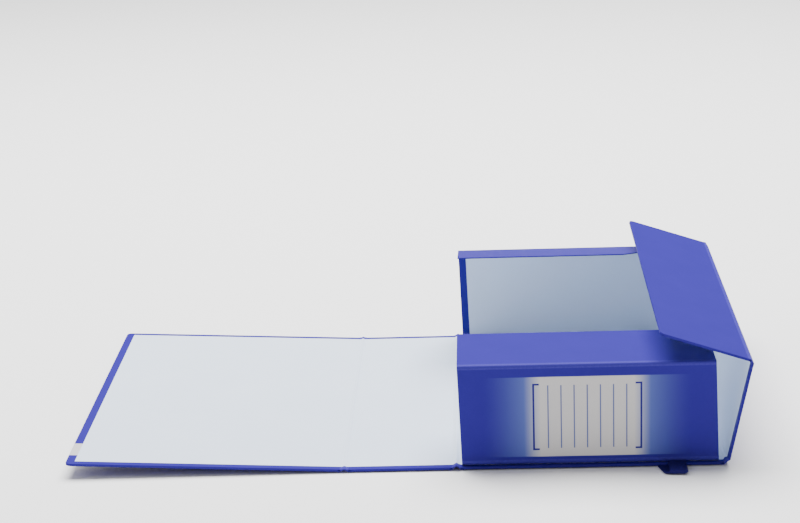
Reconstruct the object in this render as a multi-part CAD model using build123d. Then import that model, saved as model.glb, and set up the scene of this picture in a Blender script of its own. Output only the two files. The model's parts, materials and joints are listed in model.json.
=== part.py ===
from build123d import *
import os

# A folio project box: five paper-covered boards hinged in a row, with two folding end walls
# on the back cover and an elastic strap. It lies open on its back cover. +Z is up, +X points
# from the spine to the fore edge, and +Y points to the head of the box. Millimetres.

# Case boards
BOX_DEPTH = 350.0
COVER_WIDTH = 250.0
SPINE_WIDTH = 100.0
BACK_WIDTH = 240.0
FORE_WALL_HEIGHT = 97.3
FORE_FLAP_DEPTH = 85.0
BOARD_THICKNESS = 2.0
PAPER_THICKNESS = 0.25
LINING_THICKNESS = 0.2
GUTTER_WIDTH = 8.0
FLAP_GUTTER_WIDTH = 4.0
CREASE_CLEARANCE = 0.15
STRIP_THICKNESS = 0.45
RIDGE_RADIUS = 0.5
CASE_TURN_IN = 6.0
CORNER_RADIUS = 5.0

# Folding end walls, made of thinner card
CARD_THICKNESS = 0.9
CARD_PAPER = 0.2
CARD_LINING = 0.15
WALL_INSET = 3.0
WALL_HEIGHT = 92.0
WALL_AXIS_RISE = 1.85
END_FLAP_DEPTH = 84.0
SPINE_END_FOOT = 5.0
SPINE_END_TOP = 2.5
FORE_END_FOOT = 232.0
FORE_END_TOP = 229.0
TAIL_BEVEL_START = 34.0
TAIL_FORE_TIP = 188.0
HEAD_BEVEL_START = 16.0
HEAD_FORE_TIP = 168.0
CARD_TURN_IN = 7.5
CARD_SETBACK = 1.5
PAPER_SETBACK = 0.2
TAB_DEPTH = 26.0
TAB_THICKNESS = 0.6

# Elastic strap, lying slack
STRAP_WIDTH = 16.0
STRAP_THICKNESS = 0.8
STRAP_CENTRE = 195.0
STRAP_LOOP = 20.0
STRAP_TAIL = 22.0
STRAP_CLEARANCE = 0.1
STRAP_NOTCH = 20.0
PATCH_WIDTH = 18.0
PATCH_DEPTH = 7.0
PATCH_INSET = 20.0
PATCH_THICKNESS = 0.3

# Rest pose
FORE_WALL_LEAN = 12.0
FORE_FLAP_OPEN = 6.5
HEAD_FLAP_OPEN = 12.0
FRONT_COVER_LIFT = 2.5

CASE_THICKNESS = PAPER_THICKNESS + BOARD_THICKNESS + LINING_THICKNESS
CARD_STACK = CARD_PAPER + CARD_THICKNESS + CARD_LINING
HALF_DEPTH = BOX_DEPTH / 2
HALF_GUTTER = GUTTER_WIDTH / 2
HALF_FLAP_GUTTER = FLAP_GUTTER_WIDTH / 2
CASE_UNDERSIDE = STRAP_THICKNESS + STRAP_CLEARANCE
CASE_AXIS_Z = CASE_UNDERSIDE + CASE_THICKNESS / 2
CASE_INSIDE_Z = CASE_UNDERSIDE + CASE_THICKNESS
WALL_AXIS_Y = -HALF_DEPTH + WALL_INSET
WALL_AXIS_Z = CASE_INSIDE_Z + WALL_AXIS_RISE

UP = (0, 0, 1)
LOW_Z = (Align.MIN, Align.CENTER, Align.MIN)
CENTRED_LOW_Z = (Align.CENTER, Align.CENTER, Align.MIN)


def slab(start, stop, half_width, low, high):
    """A plate from start to stop along X, centred on Y, between two heights."""
    return Pos(start, 0, low) * Box(stop - start, 2 * half_width, high - low, align=LOW_Z)


def sheet(outline, low, high):
    """A plate of any straight-sided outline between two heights."""
    face = make_face(Polyline(*outline, close=True))
    return Pos(0, 0, low) * extrude(face, amount=high - low, dir=UP)


def round_far_corners(solid, radius):
    """Round the two upright edges furthest along X."""
    return fillet(solid.edges().filter_by(Axis.Z).group_by(Axis.X)[-1], radius)


def case_panel(width, start=HALF_GUTTER, end_gap=HALF_GUTTER):
    """Board, cover paper and lining of one case panel, from its crease at X = 0.

    The outside of the case faces -Z. Without an end gap the far end is free: it is wrapped
    and has rounded corners."""
    free_end = not end_gap
    bottom = -CASE_THICKNESS / 2
    top = CASE_THICKNESS / 2
    stop = width - end_gap
    board_stop = stop - PAPER_THICKNESS if free_end else stop
    lining_stop = stop - CASE_TURN_IN if free_end else stop
    board_top = top - LINING_THICKNESS
    board_bottom = bottom + PAPER_THICKNESS

    envelope = slab(start, stop, HALF_DEPTH, bottom, top)
    board = slab(start, board_stop, HALF_DEPTH - PAPER_THICKNESS, board_bottom, board_top)
    lining = slab(start, lining_stop, HALF_DEPTH - CASE_TURN_IN, board_top, top)
    if free_end:
        envelope = round_far_corners(envelope, CORNER_RADIUS)
        board = round_far_corners(board, CORNER_RADIUS - PAPER_THICKNESS)
    return board, envelope - board - lining, lining


def hinge_half(side, half_gutter=HALF_GUTTER):
    """Half of the paper strip across a gutter, on the -X or +X side of its crease."""
    bottom = -CASE_THICKNESS / 2
    low, high = sorted((side * CREASE_CLEARANCE, side * half_gutter))
    return slab(low, high, HALF_DEPTH, bottom, bottom + STRIP_THICKNESS)


def crease_ridge():
    """The bead where cover paper and lining are pressed together along the fore flap's crease."""
    return Rot(90, 0, 0) * Cylinder(RIDGE_RADIUS, BOX_DEPTH)


def end_wall_outline(start, stop, margin):
    """The end wall between two heights above its crease; its ends lean to the spine."""
    spine_slope = (SPINE_END_TOP - SPINE_END_FOOT) / WALL_HEIGHT
    fore_slope = (FORE_END_TOP - FORE_END_FOOT) / WALL_HEIGHT
    return [
        (start, SPINE_END_FOOT + spine_slope * start + margin),
        (start, FORE_END_FOOT + fore_slope * start - margin),
        (stop, FORE_END_FOOT + fore_slope * stop - margin),
        (stop, SPINE_END_FOOT + spine_slope * stop + margin),
    ]


def end_flap_outline(bevel_start, fore_tip):
    """Outlines of an end flap whose fore end is square up to bevel_start and then cut back."""
    bevel_slope = (fore_tip - FORE_END_TOP) / (END_FLAP_DEPTH - bevel_start)

    def outline(start, stop, margin):
        fore_tip_here = FORE_END_TOP + bevel_slope * (stop - bevel_start)
        return [
            (start, SPINE_END_TOP + margin),
            (start, FORE_END_TOP - margin),
            (bevel_start, FORE_END_TOP - margin),
            (stop, fore_tip_here - margin),
            (stop, SPINE_END_TOP + margin),
        ]

    return outline


def card_panel(outline, length, free_end):
    """Card, cover paper and lining of one end panel, from its crease at X = 0."""
    bottom = -CARD_STACK / 2
    top = CARD_STACK / 2
    card_bottom = bottom + CARD_PAPER
    card_top = top - CARD_LINING
    start = CARD_SETBACK
    stop = length if free_end else length - CARD_SETBACK
    card_stop = stop - CARD_PAPER if free_end else stop
    lining_stop = stop - CARD_TURN_IN if free_end else stop
    skin_stop = length if free_end else length - PAPER_SETBACK

    card = sheet(outline(start, card_stop, CARD_PAPER), card_bottom, card_top)
    lining = sheet(outline(start, lining_stop, CARD_TURN_IN), card_top, top)
    wrap = sheet(outline(start, stop, 0), bottom, top)
    skin = sheet(outline(PAPER_SETBACK, skin_stop, 0), bottom, card_bottom)
    return card, wrap - card - lining + skin, lining


def strap_loop_profile(grow):
    """Side view of the whole strap's path, flattened round both edges of the back cover."""
    height = CASE_THICKNESS + 2 * STRAP_CLEARANCE + 2 * grow
    reach = HALF_DEPTH + STRAP_LOOP - STRAP_THICKNESS + grow
    middle_z = CASE_AXIS_Z
    return Plane.YZ * Pos(0, middle_z) * SlotOverall(2 * reach, height)


def strap():
    """The flat elastic: under the back cover, round both edges, and in to its two patches."""
    ring = extrude(strap_loop_profile(STRAP_THICKNESS), amount=STRAP_WIDTH)
    ring -= extrude(strap_loop_profile(0), amount=STRAP_WIDTH)
    inner = HALF_DEPTH - STRAP_TAIL
    gap = Pos(0, 0, CASE_AXIS_Z) * Box(STRAP_WIDTH, 2 * inner, 2 * CASE_THICKNESS, align=LOW_Z)
    return Pos(STRAP_CENTRE - STRAP_WIDTH / 2, 0, 0) * (ring - gap)


def glue_tab():
    """The tab that fixes an end wall to the back cover, with a gap for the strap."""
    outer_y = WALL_AXIS_Y + CARD_SETBACK
    inner_y = outer_y + TAB_DEPTH
    outline = [
        (SPINE_END_FOOT, outer_y),
        (FORE_END_FOOT, outer_y),
        (FORE_END_FOOT - TAB_DEPTH / 2, inner_y),
        (SPINE_END_FOOT + TAB_DEPTH / 2, inner_y),
    ]
    tab = sheet(outline, CASE_INSIDE_Z, CASE_INSIDE_Z + TAB_THICKNESS)
    notch = Pos(STRAP_CENTRE, inner_y, CASE_INSIDE_Z) * Box(STRAP_NOTCH, 3 * TAB_DEPTH, 3 * TAB_THICKNESS)
    return (tab - notch).solids().sort_by(Axis.X)


def strap_patch():
    """The paper patch glued over the end of the strap."""
    top_of_strap = CASE_INSIDE_Z + STRAP_CLEARANCE + STRAP_THICKNESS
    patch = Box(PATCH_WIDTH, PATCH_DEPTH, PATCH_THICKNESS, align=CENTRED_LOW_Z)
    return Pos(STRAP_CENTRE, PATCH_INSET - HALF_DEPTH, top_of_strap) * patch


def mirrored(shape):
    """The same piece at the other end of the box."""
    return mirror(shape, about=Plane.XZ)


def raised(shape):
    """A head flap piece, swung up about its crease from level to its place at rest."""
    return shape.rotate(head_flap_crease, -HEAD_FLAP_OPEN)


# Places of the panels' crease frames at rest
back_place = Location((0, 0, CASE_AXIS_Z))
spine_place = Location((0, 0, CASE_AXIS_Z), (0, 0, 180))
front_place = spine_place * Location((SPINE_WIDTH, 0, 0), (0, -FRONT_COVER_LIFT, 0))
fore_wall_place = Location((BACK_WIDTH, 0, CASE_AXIS_Z), (0, FORE_WALL_LEAN - 90, 0))
fore_flap_place = fore_wall_place * Location((FORE_WALL_HEIGHT, 0, 0), (0, FORE_FLAP_OPEN - 90, 0))
tail_wall_place = Plane((0, WALL_AXIS_Y, WALL_AXIS_Z), x_dir=UP, z_dir=(0, 1, 0)).location
tail_flap_origin = (0, WALL_AXIS_Y, WALL_AXIS_Z + WALL_HEIGHT)
tail_flap_place = Plane(tail_flap_origin, x_dir=(0, 1, 0), z_dir=(0, 0, -1)).location
head_flap_crease = Axis((0, -WALL_AXIS_Y, WALL_AXIS_Z + WALL_HEIGHT), (1, 0, 0))

nodes = {}


def add_panel(name, place, pieces):
    """Name and place a panel's board, cover paper and lining."""
    for kind, piece in zip(("board", "paper", "lining"), pieces):
        nodes[f"{name}_{kind}"] = place * piece


add_panel("back", back_place, case_panel(BACK_WIDTH))
add_panel("spine", spine_place, case_panel(SPINE_WIDTH))
add_panel("front", front_place, case_panel(COVER_WIDTH, end_gap=0))
add_panel("fore_wall", fore_wall_place, case_panel(FORE_WALL_HEIGHT, end_gap=HALF_FLAP_GUTTER))
add_panel("fore_flap", fore_flap_place, case_panel(FORE_FLAP_DEPTH, start=HALF_FLAP_GUTTER, end_gap=0))

nodes["back_hinge_at_spine"] = back_place * hinge_half(1)
nodes["spine_hinge_at_back"] = spine_place * hinge_half(1)
nodes["spine_hinge_at_front"] = spine_place * Pos(SPINE_WIDTH, 0, 0) * hinge_half(-1)
nodes["front_hinge"] = front_place * hinge_half(1)
nodes["back_hinge_at_fore"] = back_place * Pos(BACK_WIDTH, 0, 0) * hinge_half(-1)
nodes["fore_wall_hinge"] = fore_wall_place * hinge_half(1)
fore_wall_end = fore_wall_place * Pos(FORE_WALL_HEIGHT, 0, 0)
nodes["fore_wall_hinge_at_flap"] = fore_wall_end * hinge_half(-1, HALF_FLAP_GUTTER)
nodes["fore_flap_hinge"] = fore_flap_place * hinge_half(1, HALF_FLAP_GUTTER)
nodes["fore_flap_crease_ridge"] = fore_flap_place * crease_ridge()

tail_flap_outline = end_flap_outline(TAIL_BEVEL_START, TAIL_FORE_TIP)
head_flap_outline = end_flap_outline(HEAD_BEVEL_START, HEAD_FORE_TIP)
wall_pieces = card_panel(end_wall_outline, WALL_HEIGHT, free_end=False)
tail_flap_pieces = card_panel(tail_flap_outline, END_FLAP_DEPTH, free_end=True)
head_flap_pieces = card_panel(head_flap_outline, END_FLAP_DEPTH, free_end=True)
add_panel("tail_wall", tail_wall_place, wall_pieces)
add_panel("tail_flap", tail_flap_place, tail_flap_pieces)
for kind, head_flap_piece in zip(("board", "paper", "lining"), head_flap_pieces):
    nodes[f"head_wall_{kind}"] = mirrored(nodes[f"tail_wall_{kind}"])
    nodes[f"head_flap_{kind}"] = raised(mirrored(tail_flap_place * head_flap_piece))

nodes["tail_glue_tab"] = Part(Compound(glue_tab()).wrapped)
nodes["head_glue_tab"] = mirrored(nodes["tail_glue_tab"])
nodes["elastic_strap"] = strap()
nodes["tail_strap_patch"] = strap_patch()
nodes["head_strap_patch"] = mirrored(nodes["tail_strap_patch"])

# The origin is under the middle of the whole open box
boxes = [piece.bounding_box() for piece in nodes.values()]
low_x = min(box.min.X for box in boxes)
high_x = max(box.max.X for box in boxes)
shift = Location((-(low_x + high_x) / 2, 0, -min(box.min.Z for box in boxes)))

os.makedirs("parts", exist_ok=True)
for name, piece in nodes.items():
    export_step(shift * piece, f"parts/{name}.step")

creases = {
    "spine_fold": spine_place,
    "cover_fold": front_place,
    "fore_wall_fold": fore_wall_place,
    "fore_flap_fold": fore_flap_place,
    "tail_wall_fold": tail_wall_place,
    "tail_flap_fold": tail_flap_place,
}
print(f"length {high_x - low_x:.4f}, shift {shift.position.X:.4f} {shift.position.Z:.4f}")
for name, place in creases.items():
    crease = (shift * place).position
    print(f"{name} {crease.X:.4f} {crease.Y:.4f} {crease.Z:.4f}")
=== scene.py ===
"""Looks of the open project box: printed paper wraps, linings, paper hinges and a slack elastic strap."""
import json
import math

import bpy
from mathutils import Matrix, Vector


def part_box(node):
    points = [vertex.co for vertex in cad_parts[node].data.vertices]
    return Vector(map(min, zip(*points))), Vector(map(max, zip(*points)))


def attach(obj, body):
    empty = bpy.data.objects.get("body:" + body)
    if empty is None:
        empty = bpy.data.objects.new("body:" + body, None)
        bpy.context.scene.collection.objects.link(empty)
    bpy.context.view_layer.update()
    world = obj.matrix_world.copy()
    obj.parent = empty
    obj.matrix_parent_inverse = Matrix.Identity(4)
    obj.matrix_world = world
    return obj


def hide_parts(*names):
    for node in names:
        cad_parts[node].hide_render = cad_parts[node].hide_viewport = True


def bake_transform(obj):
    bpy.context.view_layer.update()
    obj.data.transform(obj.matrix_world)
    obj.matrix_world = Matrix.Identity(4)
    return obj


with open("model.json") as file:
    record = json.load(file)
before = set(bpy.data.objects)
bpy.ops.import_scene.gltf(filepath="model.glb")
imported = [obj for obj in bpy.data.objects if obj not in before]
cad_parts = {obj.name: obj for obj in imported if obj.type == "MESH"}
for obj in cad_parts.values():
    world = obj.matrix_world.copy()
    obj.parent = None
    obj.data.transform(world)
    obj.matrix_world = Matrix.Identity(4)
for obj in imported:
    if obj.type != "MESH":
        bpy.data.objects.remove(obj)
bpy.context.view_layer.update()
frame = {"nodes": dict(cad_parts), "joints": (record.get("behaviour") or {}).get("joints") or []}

MM = 0.001
UP = Vector((0, 0, 1))
ALONG_X = Vector((1, 0, 0))
ALONG_Y = Vector((0, 1, 0))

# Case construction, millimetres, as in the CAD model
CASE_THICKNESS = 2.45
HALF_GUTTER = 4.0
HALF_FLAP_GUTTER = 2.0
CASE_PAPER = 0.25
CASE_TURN_IN = 6.0
FREE_EDGE_TURN_IN = 8.0
CORNER_RADIUS = 5.0
CASE_RIM = 0.5
EDGE_OVERHANG = 0.3

# End walls and flaps
CARD_THICKNESS = 1.25
CARD_SETBACK = 1.6
CARD_PAPER = 0.2
CARD_TURN_IN = 7.5
CARD_RIM = 0.4
SPINE_END_FOOT = 5.0
SPINE_END_TOP = 2.5
FORE_END_FOOT = 232.0
FORE_END_TOP = 229.0
BEVELS = {"tail": (34.0, 188.0), "head": (16.0, 168.0)}
END_FLAP_DEPTH = 84.0

LINING_RISE = 0.1
LINING_THICKNESS = 0.18
LINING_SHOULDER = LINING_THICKNESS * 0.7
LINING_EDGE = 0.08
CARD_LINING_EDGE = 0.06
WRAP_SLACK = 0.05
SHARP_ANGLE = math.radians(35)

JOINTS = {joint["name"]: joint for joint in frame["joints"]}


# ---------------------------------------------------------------- places


def crease(joint):
    """Where a joint's crease runs, in the row frame."""
    return Vector(JOINTS[joint]["pos_m"])


def rest_angle(joint, end):
    """How far a joint is from one of its limits at rest, in radians."""
    return math.radians(abs(JOINTS[joint]["range_deg"][end]))


def panel_place(origin, along, inner):
    """A panel's own frame: x away from its crease, z out of its inner face."""
    across = inner.cross(along)
    rows = [[along[i], across[i], inner[i], origin[i]] for i in range(3)]
    return Matrix(rows + [[0, 0, 0, 1]])


def turned(angle):
    """The along and inner directions of a panel turned up from +X by an angle."""
    along = Vector((math.cos(angle), 0, math.sin(angle)))
    inner = Vector((-math.sin(angle), 0, math.cos(angle)))
    return along, inner


lift = rest_angle("cover_fold", 1)
wall_angle = math.pi / 2 - rest_angle("fore_wall_fold", 0)
flap_angle = wall_angle + math.pi / 2 - rest_angle("fore_flap_press", 0)
head_raise = rest_angle("head_flap_fold", 0)

PLACES = {
    "back": panel_place(crease("spine_fold"), ALONG_X, UP),
    "spine": panel_place(crease("spine_fold"), -ALONG_X, UP),
    "front": panel_place(
        crease("cover_fold"),
        Vector((-math.cos(lift), 0, math.sin(lift))),
        Vector((math.sin(lift), 0, math.cos(lift))),
    ),
    "fore_wall": panel_place(crease("fore_wall_fold"), *turned(wall_angle)),
    "fore_flap": panel_place(crease("fore_flap_fold"), *turned(flap_angle)),
    "tail_wall": panel_place(crease("tail_wall_fold"), UP, ALONG_Y),
    "tail_flap": panel_place(crease("tail_flap_fold"), ALONG_Y, -UP),
    "head_wall": panel_place(crease("head_wall_fold"), UP, -ALONG_Y),
    "head_flap": panel_place(
        crease("head_flap_fold"),
        Vector((0, -math.cos(head_raise), math.sin(head_raise))),
        Vector((0, -math.sin(head_raise), -math.cos(head_raise))),
    ),
}
BODIES = {"back": "back_cover", "front": "front_cover"}
BOX_DEPTH = (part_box("back_paper")[1].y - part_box("back_paper")[0].y) / MM
COVER_WIDTH = 250.0
FORE_FLAP_DEPTH = 85.0


def distance(first, second):
    """Crease to crease, in millimetres."""
    return (crease(first) - crease(second)).length / MM


WIDTHS = {
    "back": distance("spine_fold", "fore_wall_fold"),
    "spine": distance("spine_fold", "cover_fold"),
    "front": COVER_WIDTH,
    "fore_wall": distance("fore_wall_fold", "fore_flap_fold"),
    "fore_flap": FORE_FLAP_DEPTH,
}
WALL_HEIGHT = distance("tail_wall_fold", "tail_flap_fold")


# ---------------------------------------------------------------- materials


class Nodes:
    """A short way to build one material's node tree."""

    def __init__(self, name, roughness, specular=0.5, coat=0.0, coat_roughness=0.3, sheen=0.0):
        self.material = bpy.data.materials.new(name)
        self.material.use_nodes = True
        self.tree = self.material.node_tree
        self.shader = self.tree.nodes["Principled BSDF"]
        self.shader.inputs["Roughness"].default_value = roughness
        self.shader.inputs["Specular IOR Level"].default_value = specular
        self.shader.inputs["Coat Weight"].default_value = coat
        self.shader.inputs["Coat Roughness"].default_value = coat_roughness
        self.shader.inputs["Sheen Weight"].default_value = sheen

    def add(self, kind, **settings):
        node = self.tree.nodes.new(kind)
        for key, value in settings.items():
            setattr(node, key, value)
        return node

    def plug(self, socket, value):
        if isinstance(value, bpy.types.NodeSocket):
            self.tree.links.new(value, socket)
        else:
            socket.default_value = value

    def math(self, operation, *values):
        node = self.add("ShaderNodeMath", operation=operation)
        for socket, value in zip(node.inputs, values):
            self.plug(socket, value)
        return node.outputs[0]

    def most(self, *masks):
        """The largest of several masks."""
        result = masks[0]
        for mask in masks[1:]:
            result = self.math("MAXIMUM", result, mask)
        return result

    def within(self, value, low, high, soft):
        """One where value lies between low and high, with edges that fade over soft."""
        node = self.add("ShaderNodeMapRange", interpolation_type="SMOOTHSTEP")
        self.plug(node.inputs["Value"], value)
        node.inputs["From Min"].default_value = low - soft / 2
        node.inputs["From Max"].default_value = low + soft / 2
        fall = self.add("ShaderNodeMapRange", interpolation_type="SMOOTHSTEP")
        self.plug(fall.inputs["Value"], value)
        fall.inputs["From Min"].default_value = high - soft / 2
        fall.inputs["From Max"].default_value = high + soft / 2
        return self.math("SUBTRACT", node.outputs[0], fall.outputs[0])

    def bar(self, along, across, start, stop, low, high, soft):
        """A rectangle in two coordinates."""
        return self.math(
            "MULTIPLY", self.within(along, start, stop, soft), self.within(across, low, high, soft)
        )

    def panel(self):
        """A panel's own coordinates in metres, stored on its mesh: as one vector, and split."""
        source = self.add("ShaderNodeAttribute", attribute_name="panel")
        split = self.add("ShaderNodeSeparateXYZ")
        self.plug(split.inputs[0], source.outputs["Vector"])
        return source.outputs["Vector"], split.outputs

    def noise(self, vector, scale, detail=3.0, stretch=None):
        if stretch:
            mapping = self.add("ShaderNodeMapping")
            self.plug(mapping.inputs["Vector"], vector)
            mapping.inputs["Scale"].default_value = stretch
            vector = mapping.outputs[0]
        node = self.add("ShaderNodeTexNoise")
        self.plug(node.inputs["Vector"], vector)
        node.inputs["Scale"].default_value = scale
        node.inputs["Detail"].default_value = detail
        return node.outputs["Fac"]

    def mix(self, factor, first, second):
        node = self.add("ShaderNodeMix", data_type="RGBA")
        self.plug(node.inputs["Factor"], factor)
        self.plug(node.inputs[6], first)
        self.plug(node.inputs[7], second)
        return node.outputs[2]

    def bump(self, height, strength, distance_m):
        node = self.add("ShaderNodeBump")
        self.plug(node.inputs["Height"], height)
        node.inputs["Strength"].default_value = strength
        node.inputs["Distance"].default_value = distance_m
        self.plug(self.shader.inputs["Normal"], node.outputs[0])

    def colour(self, value):
        self.plug(self.shader.inputs["Base Color"], value)


BLUE = (0.025, 0.0135, 0.235, 1)
BLUE_DEEP = (0.020, 0.0110, 0.20, 1)
# Lighter blue for the speckle: light random wear on plain paper, and painted highlight where the crease
# strips take it heavily.
BLUE_WEAR_AND_HIGHLIGHT = (0.075, 0.060, 0.40, 1)
PRINT_GLOW = (0.11, 0.16, 0.42, 1)
PRINT_WHITE = (0.56, 0.545, 0.53, 1)
PRINT_NAVY = (0.022, 0.020, 0.17, 1)
PRINT_GREY = (0.12, 0.14, 0.30, 1)


def fall_off(nodes, value, full, gone, power):
    """One up to full, fading to nothing at gone."""
    fade = nodes.add("ShaderNodeMapRange")
    nodes.plug(fade.inputs["Value"], value)
    fade.inputs["From Min"].default_value = gone
    fade.inputs["From Max"].default_value = full
    return nodes.math("POWER", fade.outputs[0], power)


def label_masks(nodes, along, across, centre_along, centre_across):
    """A writing label: a white band in a pale blue glow, seven rules and two end brackets."""
    band_half = 0.0375
    glow_start, glow_stop = 0.046, 0.092
    white_start, white_stop = 0.0410, 0.0560
    bracket_along = 0.0464
    bracket_half = 0.0314
    hook = 0.0042
    pen = 0.0017
    rule_pen = 0.0012
    rule_pitch = 0.0115
    rule_count = 7

    offset = nodes.math("SUBTRACT", along, centre_along)
    reach = nodes.math("ABSOLUTE", offset)
    height = nodes.math("SUBTRACT", across, centre_across)
    band = nodes.within(height, -band_half, band_half, 0.0008)
    glow = nodes.math("MULTIPLY", fall_off(nodes, reach, glow_start, glow_stop, 1.6), band)
    white = nodes.math("MULTIPLY", fall_off(nodes, reach, white_start, white_stop, 1.3), band)

    stem = nodes.bar(reach, height, bracket_along, bracket_along + pen, -bracket_half, bracket_half, 0.0003)
    rise = nodes.math("ABSOLUTE", height)
    low_hook = bracket_half - pen
    ends = nodes.bar(reach, rise, bracket_along - hook, bracket_along + pen, low_hook, bracket_half, 0.0003)
    phase = nodes.math("PINGPONG", offset, rule_pitch / 2)
    near_rule = nodes.within(phase, -1.0, rule_pen / 2, 0.0002)
    rule_reach = rule_pitch * rule_count / 2
    ruled = nodes.bar(reach, rise, -1.0, rule_reach, -1.0, bracket_half - pen, 0.0003)
    rules = nodes.math("MULTIPLY", near_rule, ruled)
    return glow, white, nodes.most(stem, ends), rules


def stripe_masks(nodes, along, across):
    """The front cover's stripe near the tail: white to the free edge, with a small frame."""
    tail_edge = BOX_DEPTH / 2 * MM
    stripe_low = tail_edge - 0.047
    stripe_high = tail_edge - 0.020
    glow_start = 0.105
    glow_stop = 0.150
    white_start = 0.150
    white_stop = 0.172
    pen = 0.0008
    frame_start = 0.143
    frame_stop = 0.206
    hook = 0.004
    frame_low = stripe_low + 0.006
    frame_high = stripe_high - 0.005

    inland = nodes.math("SUBTRACT", 0.0, along)
    band = nodes.within(across, stripe_low, stripe_high, 0.0006)
    glow = nodes.math("MULTIPLY", fall_off(nodes, inland, -glow_stop, -glow_start, 1.7), band)
    white = nodes.math("MULTIPLY", fall_off(nodes, inland, -white_stop, -white_start, 1.0), band)

    bars = []
    for stem, inward in ((frame_start, 1), (frame_stop, -1)):
        left, right = sorted((stem, stem + inward * pen))
        bars.append(nodes.bar(along, across, left, right, frame_low, frame_high, 0.0002))
        left, right = sorted((stem, stem + inward * hook))
        bars.append(nodes.bar(along, across, left, right, frame_low, frame_low + pen, 0.0002))
        bars.append(nodes.bar(along, across, left, right, frame_high - pen, frame_high, 0.0002))
    middle = (frame_low + frame_high) / 2
    rule = nodes.bar(along, across, frame_start + hook, frame_stop - hook, middle, middle + pen, 0.0002)
    return glow, white, nodes.most(*bars), rule


def blue_paper(name, print_masks=None, wear_and_highlight=0.10):
    """Printed and varnished cover paper: blue, lightly mottled, with lighter speckle (light wear, and on
    the crease strips a painted highlight) and a fine laid emboss.
    """
    nodes = Nodes(name, roughness=0.55, specular=0.06)
    vector, (along, across, _) = nodes.panel()
    mottle = nodes.noise(vector, 28.0, detail=5.0)
    colour = nodes.mix(mottle, BLUE_DEEP, BLUE)
    if print_masks:
        glow, white, strokes, rules = print_masks(nodes, along, across)
        colour = nodes.mix(glow, colour, PRINT_GLOW)
        colour = nodes.mix(white, colour, PRINT_WHITE)
        colour = nodes.mix(rules, colour, PRINT_GREY)
        colour = nodes.mix(strokes, colour, PRINT_NAVY)
    # Lighter speckle: at the default amount it is light wear; at the crease strips' 0.8 it is a painted
    # highlight along the creases.
    speckle = nodes.noise(vector, 900.0, detail=2.0)
    colour = nodes.mix(nodes.math("MULTIPLY", speckle, wear_and_highlight), colour, BLUE_WEAR_AND_HIGHLIGHT)
    nodes.colour(colour)
    laid = nodes.noise(vector, 1500.0, detail=2.0, stretch=(1.0, 0.35, 1.0))
    wave = nodes.noise(vector, 9.0, detail=1.0)
    relief = nodes.math("ADD", nodes.math("MULTIPLY", laid, 0.05), wave)
    nodes.bump(relief, 0.35, 0.0012)
    return nodes.material


def outside_only(masks):
    """The same print, but only on the outer side of its panel."""

    def apply(nodes, along, across):
        height = nodes.panel()[1][2]
        outside = nodes.math("LESS_THAN", height, 0.0)
        return [nodes.math("MULTIPLY", mask, outside) for mask in masks(nodes, along, across)]

    return apply


def lining_paper():
    """Uncoated pale lining paper with a faint tone and fibre relief."""
    nodes = Nodes("lining_paper", roughness=0.82, specular=0.25)
    vector = nodes.panel()[0]
    tone = nodes.noise(vector, 14.0, detail=4.0)
    colour = nodes.mix(tone, (0.62, 0.71, 0.85, 1), (0.68, 0.76, 0.89, 1))
    fibre = nodes.noise(vector, 700.0, detail=3.0, stretch=(1.0, 0.4, 1.0))
    colour = nodes.mix(nodes.math("MULTIPLY", fibre, 0.08), colour, (0.55, 0.62, 0.70, 1))
    nodes.colour(colour)
    wave = nodes.noise(vector, 7.0, detail=1.0)
    nodes.bump(nodes.math("ADD", nodes.math("MULTIPLY", fibre, 0.05), wave), 0.3, 0.0012)
    return nodes.material


def raw_board(name, light, dark):
    """Unprinted greyboard or card with flecks."""
    nodes = Nodes(name, roughness=0.9, specular=0.2)
    source = nodes.add("ShaderNodeTexCoord").outputs["Object"]
    fleck = nodes.noise(source, 420.0, detail=5.0)
    nodes.colour(nodes.mix(fleck, light, dark))
    nodes.bump(fleck, 0.4, 0.0002)
    return nodes.material


def woven_elastic():
    """Navy knitted elastic: fine ribs along its length and a soft sheen."""
    nodes = Nodes("woven_elastic", roughness=0.75, specular=0.08)
    along, across, _ = nodes.panel()[1]
    rib = nodes.math("SINE", nodes.math("MULTIPLY", across, 2 * math.pi / 0.0012))
    pick = nodes.math("SINE", nodes.math("MULTIPLY", along, 2 * math.pi / 0.0009))
    weave = nodes.math("MULTIPLY", nodes.math("ADD", rib, 1.0), nodes.math("ADD", pick, 1.6))
    shade = nodes.math("MULTIPLY", weave, 0.2)
    colour = nodes.mix(shade, (0.013, 0.008, 0.095, 1), (0.028, 0.020, 0.20, 1))
    nodes.colour(colour)
    nodes.bump(weave, 0.5, 0.0002)
    return nodes.material


def tail_label(nodes, along, across):
    """The tail wall's label lies on its side, centred along the wall."""
    from_spine, up_wall = 0.1164, 0.0434
    return label_masks(nodes, across, along, from_spine, up_wall)


def spine_label(nodes, along, across):
    """The spine's label is nearer the head."""
    head_edge = -BOX_DEPTH / 2 * MM
    from_head, from_back_cover = 0.1565, 0.050
    return label_masks(nodes, across, along, head_edge + from_head, from_back_cover)


PLAIN = blue_paper("blue_paper")
# Crease strip paper: its heavy lightening is a painted highlight along the creases.
CREASE_HIGHLIGHT_PAPER = blue_paper("crease_highlight_blue_paper", wear_and_highlight=0.8)
TAIL_PRINT = blue_paper("tail_wall_print", outside_only(tail_label))
SPINE_PRINT = blue_paper("spine_print", outside_only(spine_label))
FRONT_PRINT = blue_paper("front_cover_print", stripe_masks)
LINING = lining_paper()
GREYBOARD = raw_board("greyboard", (0.30, 0.28, 0.25, 1), (0.42, 0.40, 0.37, 1))
CARD = raw_board("card", (0.55, 0.52, 0.47, 1), (0.66, 0.63, 0.58, 1))
ELASTIC = woven_elastic()


# ---------------------------------------------------------------- mesh pieces


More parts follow.
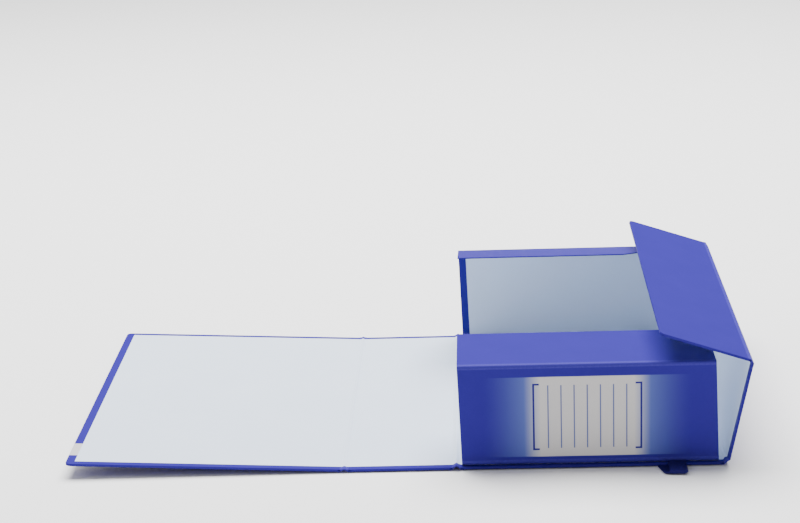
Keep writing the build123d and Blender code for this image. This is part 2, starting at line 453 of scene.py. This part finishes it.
def make_piece(name, verts, faces, place, materials, face_slots=None, panel=None):
    """A mesh from millimetre points in a panel's frame, moved to its place."""
    mesh = bpy.data.meshes.new(name)
    mesh.from_pydata([Vector(v) * MM for v in verts], [], faces)
    coordinates = mesh.attributes.new("panel", "FLOAT_VECTOR", "POINT")
    for item, vert in zip(coordinates.data, panel or verts):
        item.vector = Vector(vert) * MM
    for material in materials:
        mesh.materials.append(material)
    if face_slots:
        mesh.polygons.foreach_set("material_index", face_slots)
    mesh.transform(place)
    mesh.shade_smooth()
    mesh.set_sharp_from_angle(angle=SHARP_ANGLE)
    piece = bpy.data.objects.new(name, mesh)
    bpy.context.scene.collection.objects.link(piece)
    flat_faces = piece.modifiers.new("flat_faces", "WEIGHTED_NORMAL")
    flat_faces.keep_sharp = True
    return piece


def inset(outline, amount):
    """The outline moved inwards; it runs anticlockwise."""
    moved = []
    count = len(outline)
    for i, point in enumerate(outline):
        before = Vector(outline[i - 1])
        here = Vector(point)
        after = Vector(outline[(i + 1) % count])
        first = (here - before).normalized()
        second = (after - here).normalized()
        normal_a = Vector((-first.y, first.x))
        normal_b = Vector((-second.y, second.x))
        moved.append(here + (normal_a + normal_b) * (amount / (1 + normal_a.dot(normal_b))))
    return moved


def closed_shell(outline, profile, flip=False):
    """Points and faces of a plate whose rim follows a profile of (inset, height)."""
    verts = []
    for amount, height in profile:
        verts += [(p[0], p[1], height) for p in inset(outline, amount)]
    count = len(outline)
    faces = [list(range(count))[::-1]]
    for ring in range(len(profile) - 1):
        base = ring * count
        for i in range(count):
            j = (i + 1) % count
            faces.append([base + i, base + j, base + count + j, base + count + i])
    top = (len(profile) - 1) * count
    faces.append(list(range(top, top + count)))
    if flip:
        faces = [face[::-1] for face in faces]
    return verts, faces


def rim_profile(low, high, radius, steps=3):
    """A rim with both edges rounded."""
    quarter = [math.pi / 2 * i / steps for i in range(steps + 1)]
    lower = [(radius * (1 - math.sin(a)), low + radius * (1 - math.cos(a))) for a in quarter]
    upper = [(radius * (1 - math.cos(a)), high - radius * (1 - math.sin(a))) for a in quarter]
    return lower + upper


def wrap_shell(outline, low, high, rim, paper):
    """Cover paper wrapped round a board: an outer skin and the hollow that the board fills."""
    verts, faces = closed_shell(outline, rim_profile(low, high, rim))
    hollow = [(paper, low + paper), (paper, high - paper)]
    inner_verts, inner_faces = closed_shell(outline, hollow, flip=True)
    shift = len(verts)
    faces += [[i + shift for i in face] for face in inner_faces]
    return verts + inner_verts, faces


def corner(centre, radius, start, steps=6):
    """Points of a quarter round."""
    angles = [start + math.pi / 2 * i / steps for i in range(steps + 1)]
    return [(centre[0] + radius * math.cos(a), centre[1] + radius * math.sin(a)) for a in angles]


def case_outline(start, stop, half_depth, radius):
    """A panel's outline, with rounded corners at its free end if radius is not zero."""
    if not radius:
        return [(start, -half_depth), (stop, -half_depth), (stop, half_depth), (start, half_depth)]
    near = corner((stop - radius, -half_depth + radius), radius, -math.pi / 2)
    far = corner((stop - radius, half_depth - radius), radius, 0)
    return [(start, -half_depth)] + near + far + [(start, half_depth)]


def finish_piece(piece, body, slot, *nodes):
    """Ride and replace in one call."""
    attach(piece, body)
    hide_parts(*nodes)


def gutter(name, far_end):
    """Half the gutter at one end of a panel; the fore flap's is narrower."""
    at_flap = name == "fore_flap" or (name == "fore_wall" and far_end)
    return HALF_FLAP_GUTTER if at_flap else HALF_GUTTER


def case_panel(name, material):
    """The paper wrap and the lining of one case panel."""
    free_end = name in ("front", "fore_flap")
    body = BODIES.get(name, name)
    half_depth = BOX_DEPTH / 2
    low = -CASE_THICKNESS / 2
    high = CASE_THICKNESS / 2 - LINING_RISE
    start = gutter(name, False) - EDGE_OVERHANG
    stop = WIDTHS[name] if free_end else WIDTHS[name] - gutter(name, True) + EDGE_OVERHANG
    outline = case_outline(start, stop, half_depth, CORNER_RADIUS if free_end else 0)
    verts, faces = wrap_shell(outline, low, high, CASE_RIM, CASE_PAPER - WRAP_SLACK)
    wrap = make_piece(f"{name}_wrap", verts, faces, PLACES[name], [material])
    finish_piece(wrap, body, "cover_paper", f"{name}_paper")

    lining_stop = stop - FREE_EDGE_TURN_IN if free_end else stop
    window = case_outline(start, lining_stop, half_depth - CASE_TURN_IN, 0)
    profile = [(0, high), (0, high + LINING_SHOULDER), (LINING_EDGE, high + LINING_THICKNESS)]
    verts, faces = closed_shell(window, profile)
    lining = make_piece(f"{name}_liner", verts, faces, PLACES[name], [LINING])
    finish_piece(lining, body, "lining_paper", f"{name}_lining")


def end_outline(end, kind, start, stop, margin):
    """An end wall's or end flap's outline between two distances from its crease."""
    if kind == "wall":
        def spine_end(along):
            return SPINE_END_FOOT + (SPINE_END_TOP - SPINE_END_FOOT) * along / WALL_HEIGHT

        def fore_end(along):
            return FORE_END_FOOT + (FORE_END_TOP - FORE_END_FOOT) * along / WALL_HEIGHT

        corners = (start, stop)
    else:
        bevel_start, tip = BEVELS[end]

        def spine_end(along):
            return SPINE_END_TOP

        def fore_end(along):
            cut = max(0.0, along - bevel_start) / (END_FLAP_DEPTH - bevel_start)
            return FORE_END_TOP + (tip - FORE_END_TOP) * cut

        corners = (start, bevel_start, stop)
    outline = [(along, spine_end(along) + margin) for along in (start, stop)]
    outline += [(along, fore_end(along) - margin) for along in reversed(corners)]
    if end == "head":
        outline = [(along, -across) for along, across in reversed(outline)]
    return outline


def end_panel(end, kind, material):
    """The paper wrap and the lining of an end wall or end flap."""
    name = f"{end}_{kind}"
    low = -CARD_THICKNESS / 2
    high = CARD_THICKNESS / 2 - LINING_RISE
    length = WALL_HEIGHT if kind == "wall" else END_FLAP_DEPTH
    stop = length - CARD_SETBACK if kind == "wall" else length
    outline = end_outline(end, kind, CARD_SETBACK, stop, 0)
    verts, faces = wrap_shell(outline, low, high, CARD_RIM, CARD_PAPER - WRAP_SLACK)
    wrap = make_piece(f"{name}_wrap", verts, faces, PLACES[name], [material])
    finish_piece(wrap, name, "cover_paper", f"{name}_paper")

    lining_stop = stop if kind == "wall" else stop - CARD_TURN_IN
    window = end_outline(end, kind, CARD_SETBACK, lining_stop, CARD_TURN_IN)
    profile = [(0, high), (0, high + LINING_SHOULDER), (CARD_LINING_EDGE, high + LINING_THICKNESS)]
    verts, faces = closed_shell(window, profile)
    lining = make_piece(f"{name}_liner", verts, faces, PLACES[name], [LINING])
    finish_piece(lining, name, "lining_paper", f"{name}_lining")


# ---------------------------------------------------------------- paper hinges


class Side:
    """One side of a crease: where its paper leaves the panel."""

    def __init__(self, away, inner, setback, outer_depth, inner_height, flank):
        self.away = away
        self.inner = inner
        self.setback = setback
        self.outer_depth = outer_depth
        self.inner_height = inner_height
        self.flank = flank

    def outer(self, distance_mm, proud=0.0):
        return self.away * distance_mm - self.inner * (self.outer_depth + proud)

    def inside(self, distance_mm, proud=0.0):
        return self.away * distance_mm + self.inner * (self.inner_height + proud)


STRIP_PROUD = 0.05
STRIP_STEPS = 12
STRIP_GRAIN_STEP = 0.7
SWELL_POWER = 1.2
CASE_FLANK = 3.0
CARD_FLANK = 1.5
BACK_HUMP = (2.9, 1.9)
FRONT_HUMP = (1.7, 0.8)
FLAT_GROOVE = 0.45
FOLDED_HUMP = (0.15, 0.9)
CARD_HUMP = (-0.6, 0.0)
TAB_UNDERSIDE = 1.8
TAB_TOP = 1.2
STRAP_THICKNESS = 0.8
STRAP_LOOP = 20.0
STRAP_SPLAY = 0.8
STRAP_DRIFT = 9.0
STRAP_DRIFT_RUN = 34.0
STRAP_EDGE_ROUND = 0.35
STRAP_LIFT = 0.02


def strip_section(first, second, hump, groove):
    """The outer and inner lines of a hinge strip, from the first panel to the second."""
    middle = (first.inner + second.inner).normalized()
    outer = [first.outer(first.setback + first.flank, STRIP_PROUD)]
    inner = [first.outer(first.setback + first.flank)]
    outer_a, outer_b = (side.outer(side.setback, STRIP_PROUD) for side in (first, second))
    inner_a, inner_b = (side.inside(side.setback) for side in (first, second))
    for step in range(STRIP_STEPS + 1):
        t = step / STRIP_STEPS
        swell = math.sin(math.pi * t) ** SWELL_POWER
        dip = math.sin(2 * math.pi * t) ** 2
        outer.append(outer_a.lerp(outer_b, t) + middle * hump[0] * swell)
        inner.append(inner_a.lerp(inner_b, t) + middle * (hump[1] * swell - groove * dip))
    outer.append(second.outer(second.setback + second.flank, STRIP_PROUD))
    inner.append(second.outer(second.setback + second.flank))
    return outer, inner


def bordered(low, high, border):
    """Stations along a crease, with the turned-in paper's border marked off at both ends."""
    return [low, low + border, high - border, high]


def strip_mesh(name, outer, inner, place, stations):
    """A closed strip through a section's lines, run along the crease."""
    loop = outer + inner[::-1]
    count = len(loop)
    verts = []
    panel = []
    for station in stations:
        for i, point in enumerate(loop):
            verts.append((point.x, station, point.z))
            panel.append((i * STRIP_GRAIN_STEP, station, 0))
    faces = [list(range(count))]
    slots = [0]
    last = len(stations) - 1
    for j in range(last):
        edge = j in (0, last - 1)
        for i in range(count):
            k = (i + 1) % count
            base = j * count
            faces.append([base + i, base + count + i, base + count + k, base + k])
            lined = len(outer) <= i < count - 1
            slots.append(1 if lined and not edge else 0)
    faces.append([last * count + i for i in range(count)][::-1])
    slots.append(0)
    # The strip's outside takes the crease paper with its painted highlight; its inside is lining.
    piece = make_piece(name, verts, faces, place, [CREASE_HIGHLIGHT_PAPER, LINING], slots, panel)
    return piece


def section_frame(origin, across):
    """Sections are drawn in x and z, with y along the crease."""
    side = across.cross(UP)
    rows = [[side[i], across[i], UP[i], origin[i]] for i in range(3)]
    return Matrix(rows + [[0, 0, 0, 1]])


def flat_vector(vector, across):
    """A row-frame direction in the section's own x and z."""
    side = across.cross(UP)
    return Vector((vector.dot(side), 0, vector.dot(UP)))


def paper_hinge(name, joint, across, stations, sides, hump, groove, bodies, nodes=()):
    """A paper strip over a crease, in two halves where a crease body lies between its two panels."""
    place = section_frame(crease(joint), across)
    first, second = sides
    outer, inner = strip_section(first, second, hump, groove)
    start = first.outer(first.setback)
    end = second.outer(second.setback)
    half = len(outer) // 2
    middle = (outer[half] + inner[half]) / 2
    parts = [("", outer, inner, start, end, nodes)]
    if len(bodies) == 3:
        parts = [
            ("_near", outer[: half + 1], inner[: half + 1], start, middle, nodes[:1]),
            ("_far", outer[half:], inner[half:], middle, end, nodes[1:]),
        ]
    for index, (suffix, outside, inside, low, high, replaced) in enumerate(parts):
        strip = strip_mesh(name + suffix, outside, inside, place, stations)
        if replaced:
            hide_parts(*replaced)
        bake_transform(strip)


def case_side(name, reverse=False):
    """A case panel's side of a crease; reverse is for the crease at its far end."""
    along = PLACES[name].col[0].to_3d()
    inner = PLACES[name].col[2].to_3d()
    away = -along if reverse else along
    half = CASE_THICKNESS / 2
    setback = gutter(name, reverse) - EDGE_OVERHANG
    return Side(flat_vector(away, ALONG_Y), flat_vector(inner, ALONG_Y), setback, half, half, CASE_FLANK)


def end_side(name, across, reverse=False):
    """An end wall's or end flap's side of a crease."""
    along = PLACES[name].col[0].to_3d()
    inner = PLACES[name].col[2].to_3d()
    away = -along if reverse else along
    half = CARD_THICKNESS / 2
    return Side(flat_vector(away, across), flat_vector(inner, across), CARD_SETBACK, half, half, CARD_FLANK)


def case_hinges():
    """The four gutters of the case."""
    half = BOX_DEPTH / 2
    stations = bordered(-half, half, CASE_TURN_IN)
    paper_hinge(
        "spine_back_hinge", "spine_fold", ALONG_Y, stations,
        (case_side("spine"), case_side("back")), BACK_HUMP, FLAT_GROOVE,
        ("spine", "back_cover"), ("back_hinge_at_spine", "spine_hinge_at_back"),
    )
    paper_hinge(
        "spine_front_hinge", "cover_fold", ALONG_Y, stations,
        (case_side("front"), case_side("spine", True)), FRONT_HUMP, FLAT_GROOVE,
        ("front_cover", "spine"), ("front_hinge", "spine_hinge_at_front"),
    )
    paper_hinge(
        "fore_wall_strip", "fore_wall_fold", ALONG_Y, stations,
        (case_side("back", True), case_side("fore_wall")), FOLDED_HUMP, 0.0,
        ("back_cover", "fore_wall"), ("back_hinge_at_fore", "fore_wall_hinge"),
    )
    paper_hinge(
        "fore_flap_strip", "fore_flap_fold", ALONG_Y, stations,
        (case_side("fore_wall", True), case_side("fore_flap")), FOLDED_HUMP, 0.0,
        ("fore_wall", "fore_flap_crease", "fore_flap"),
        ("fore_wall_hinge_at_flap", "fore_flap_hinge", "fore_flap_crease_ridge"),
    )


def end_hinges(end):
    """The creases at the foot and the top of an end wall."""
    side = 1 if end == "tail" else -1
    across = ALONG_X * side
    foot_ends = bordered(*sorted((side * SPINE_END_FOOT, side * FORE_END_FOOT)), CARD_TURN_IN)
    top_ends = bordered(*sorted((side * SPINE_END_TOP, side * FORE_END_TOP)), CARD_TURN_IN)
    wall = f"{end}_wall"
    flap = f"{end}_flap"
    inward = flat_vector(ALONG_Y * side, across)
    tab = Side(inward, flat_vector(UP, across), CARD_SETBACK, TAB_UNDERSIDE, -TAB_TOP, CARD_FLANK)
    paper_hinge(
        f"{end}_foot_hinge", f"{end}_wall_fold", across, foot_ends,
        (tab, end_side(wall, across)), CARD_HUMP, 0.0, ("back_cover", wall),
    )
    paper_hinge(
        f"{end}_top_hinge", f"{end}_flap_fold", across, top_ends,
        (end_side(wall, across, True), end_side(flap, across)), CARD_HUMP, 0.0, (wall, flap),
    )


# ---------------------------------------------------------------- elastic


def strap_path():
    """Where the slack strap runs: over the back lining, out in a loop, and back under the case."""
    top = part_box("elastic_strap")[1].z / MM - STRAP_THICKNESS / 2
    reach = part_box("elastic_strap")[1].y / MM - STRAP_THICKNESS / 2
    edge = BOX_DEPTH / 2
    low = STRAP_THICKNESS / 2
    middle = (top + low) / 2
    return [
        (edge - 22, top), (edge - 14, top), (edge - 6, top), (edge + 2, top + 0.1),
        (edge + 9, top - 0.1), (reach - 3.4, top - 0.7), (reach - 0.6, middle + 0.8), (reach, middle - 0.2),
        (reach - 1.1, middle - 1.0), (reach - 4.2, low + 0.15), (edge + 6, low + 0.02), (edge - 4, low),
        (edge - 20, low), (edge - 60, low),
    ]


def smooth_points(points, repeats=2):
    """Chaikin corner cutting, which keeps the ends."""
    for _ in range(repeats):
        cut = [points[0]]
        for first, second in zip(points, points[1:]):
            cut.append(first.lerp(second, 0.25))
            cut.append(first.lerp(second, 0.75))
        cut.append(points[-1])
        points = cut
    return points


def elastic_strap():
    """A woven ribbon; each loop splays a little, as slack elastic does."""
    low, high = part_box("elastic_strap")
    centre = (low.x + high.x) / 2 / MM
    middle_z = (low.z + high.z) / 2 / MM
    half_width = (high.x - low.x) / 2 / MM
    tail = smooth_points([Vector((0, -y, z)) for y, z in strap_path()])
    head = [Vector((0, -point.y, point.z)) for point in reversed(tail)]
    line = tail + head
    lanes = [-1.0, -0.9, -0.6, -0.2, 0.2, 0.6, 0.9, 1.0]
    verts = []
    panel = []
    run = 0.0
    edge = BOX_DEPTH / 2
    for i, point in enumerate(line):
        ahead = line[min(i + 1, len(line) - 1)]
        behind = line[max(i - 1, 0)]
        if i:
            run += (point - behind).length
        normal = (ahead - behind).normalized().cross(ALONG_X)
        outside = max(0.0, abs(point.y) - edge) / STRAP_LOOP
        under = max(0.0, min(1.0, (middle_z - point.z) / middle_z + 0.4))
        near_edge = max(0.0, 1 - abs(abs(point.y) - edge) / STRAP_DRIFT_RUN)
        drift = -STRAP_DRIFT * under * near_edge
        for face in (1, -1):
            for lane in lanes if face > 0 else reversed(lanes):
                edge_round = STRAP_EDGE_ROUND if abs(lane) == 1.0 else 1.0
                across = Vector((lane * half_width, 0, 0))
                drawn = math.copysign((1 - lane) * STRAP_SPLAY * outside ** 2, -point.y)
                offset = normal * (face * STRAP_THICKNESS / 2 * edge_round)
                spot = point + across + offset + Vector((0, drawn, 0))
                spot.x += centre + drift
                spot.z = max(spot.z, STRAP_LIFT)
                verts.append(spot)
                panel.append((run, lane * half_width, face))
    count = 2 * len(lanes)
    faces = [list(range(count))]
    for ring in range(len(line) - 1):
        base = ring * count
        for i in range(count):
            j = (i + 1) % count
            faces.append([base + i, base + count + i, base + count + j, base + j])
    last = (len(line) - 1) * count
    faces.append([last + i for i in range(count)][::-1])
    strap = make_piece("elastic_ribbon", verts, faces, Matrix.Identity(4), [ELASTIC], panel=panel)
    finish_piece(strap, "back_cover", "elastic", "elastic_strap")


# ---------------------------------------------------------------- build


def build():
    """Every visible piece of the box."""
    case_panel("back", PLAIN)
    case_panel("spine", SPINE_PRINT)
    case_panel("front", FRONT_PRINT)
    case_panel("fore_wall", PLAIN)
    case_panel("fore_flap", PLAIN)
    case_hinges()
    for end in ("tail", "head"):
        end_panel(end, "wall", TAIL_PRINT if end == "tail" else PLAIN)
        end_panel(end, "flap", PLAIN)
        end_hinges(end)
    elastic_strap()
    for name, node in frame["nodes"].items():
        material = LINING
        if name.endswith("_board"):
            material = CARD if name.startswith(("tail", "head")) else GREYBOARD
        node.data.materials.clear()
        node.data.materials.append(material)


# ---------------------------------------------------------------- camera, floor and lights


def aim_camera():
    """The camera at the photograph's viewing angle."""
    position = Vector((0.0709, -1.8147, 0.7088))
    yaw = -0.04272
    pitch = 0.3029
    roll = -0.03671
    forward = Vector(
        (math.sin(yaw) * math.cos(pitch), math.cos(yaw) * math.cos(pitch), -math.sin(pitch))
    )
    level = Vector((math.cos(yaw), -math.sin(yaw), 0))
    rise = level.cross(forward)
    right = level * math.cos(roll) + rise * math.sin(roll)
    up = rise * math.cos(roll) - level * math.sin(roll)
    camera = bpy.data.objects.new("camera", bpy.data.cameras.new("camera"))
    camera.data.lens = 90
    camera.data.sensor_width = 36
    rows = [[right[i], up[i], -forward[i], position[i]] for i in range(3)]
    camera.matrix_world = Matrix(rows + [[0, 0, 0, 1]])
    bpy.context.scene.collection.objects.link(camera)
    bpy.context.scene.camera = camera


def area_light(name, position, target, size, power):
    """A soft rectangular studio light."""
    light = bpy.data.lights.new(name, "AREA")
    light.shape = "RECTANGLE"
    light.size, light.size_y = size
    light.energy = power
    lamp = bpy.data.objects.new(name, light)
    lamp.location = position
    lamp.rotation_euler = (Vector(target) - Vector(position)).to_track_quat("-Z", "Y").to_euler()
    bpy.context.scene.collection.objects.link(lamp)


def studio():
    """A white floor, a white surround and two soft lights."""
    floor_mesh = bpy.data.meshes.new("floor")
    reach = 12.0
    corners = [(-reach, -reach, 0), (reach, -reach, 0), (reach, reach, 0), (-reach, reach, 0)]
    floor_mesh.from_pydata([Vector(c) - UP * 0.0002 for c in corners], [], [(0, 1, 2, 3)])
    floor = bpy.data.objects.new("floor", floor_mesh)
    paint = Nodes("floor_paint", roughness=0.9, specular=0.1)
    paint.shader.inputs["Base Color"].default_value = (0.94, 0.94, 0.94, 1)
    floor_mesh.materials.append(paint.material)
    bpy.context.scene.collection.objects.link(floor)

    world = bpy.data.worlds.new("surround")
    world.use_nodes = True
    background = world.node_tree.nodes["Background"]
    background.inputs["Color"].default_value = (1.0, 1.0, 1.0, 1)
    background.inputs["Strength"].default_value = 0.40
    bpy.context.scene.world = world

    area_light("top_light", (0.0, 1.0, 2.6), (0, 0, 0), (3.0, 2.0), 290)
    area_light("left_light", (-2.0, -0.3, 1.4), (0, 0, 0), (1.4, 1.4), 10)


build()
aim_camera()
studio()
